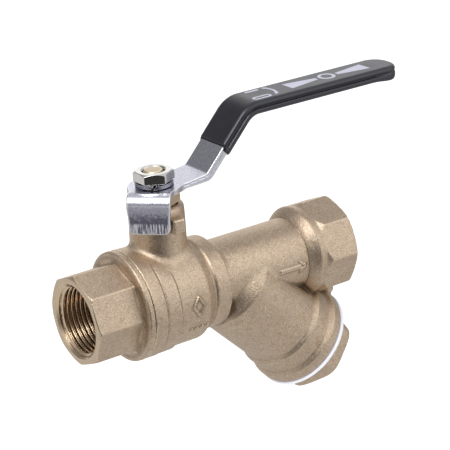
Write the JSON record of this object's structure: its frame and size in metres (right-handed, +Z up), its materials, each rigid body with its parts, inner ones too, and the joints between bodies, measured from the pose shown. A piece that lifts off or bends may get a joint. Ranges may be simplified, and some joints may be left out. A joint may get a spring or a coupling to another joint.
{
  "type": "lever ball valve with y strainer",
  "caption": "Brass lever ball valve with a strainer branch cast at 45 degrees into its outlet side, female threaded ends and a black sleeved steel lever.",
  "frame": {"origin": "centre of the stem's flat top face, on the axis that the lever turns about; the ball's centre and the pipe axis are 48 mm straight below it", "axes": "+X is the flow direction along the pipe axis, +Z runs up the stem, +Y completes the right-handed frame; the valve is open at rest, lever over the outlet"},
  "size_m": [0.1468, 0.041, 0.1207],
  "materials": {
    "forged_brass": "grit-blasted forging",
    "machined_brass": "turned",
    "chrome": "bright plated",
    "zinc_plate": "zinc plated pressed steel",
    "stainless_mesh": "perforated stainless sheet",
    "ptfe": "white PTFE",
    "seal_rubber": "matt black elastomer",
    "black_pvc": "dipped PVC, semi-gloss"
  },
  "bodies": {
    "valve_body": {"valve_body": "forged_brass", "inlet_end_cap": "forged_brass", "end_cap_seal": "seal_rubber", "seat_ring_inlet": "ptfe", "seat_ring_outlet": "ptfe", "stem_thrust_washer": "ptfe", "packing_ring_lower": "ptfe", "packing_ring_upper": "ptfe", "gland_nut": "machined_brass"},
    "lever": {"stem": "machined_brass", "stem_o_ring": "seal_rubber", "lever": "zinc_plate", "lever_sleeve": "black_pvc", "spring_washer": "zinc_plate", "lever_nut": "chrome"},
    "ball": {"ball": "chrome"},
    "screen": {"strainer_screen": "stainless_mesh", "plug_gasket": "ptfe"},
    "plug": {"strainer_plug": "forged_brass"}
  },
  "joints": [
    {"name": "lever_turn", "type": "hinge", "parent": "valve_body", "child": "lever", "pos_m": [0, 0, -0.014], "axis": [0, 0, -1], "range_deg": [0, 90]},
    {"name": "ball_turn", "type": "hinge", "parent": "valve_body", "child": "ball", "pos_m": [0, 0, -0.048], "axis": [0, 0, -1], "range_deg": [0, 90]},
    {"name": "screen_withdraw", "type": "slide", "parent": "valve_body", "child": "screen", "axis": [0.7071, 0, -0.7071], "range_m": [0, 0.054]},
    {"name": "plug_turn", "type": "hinge", "parent": "screen", "child": "plug", "pos_m": [0.0606, 0, -0.0834], "axis": [0.7071, 0, -0.7071], "range_deg": [0, 12968]}
  ],
  "couplings": [
    {"joint": "ball_turn", "follows": "lever_turn", "ratio": 1},
    {"joint": "plug_turn", "follows": "screen_withdraw", "rad_per_m": 4188.8}
  ]
}
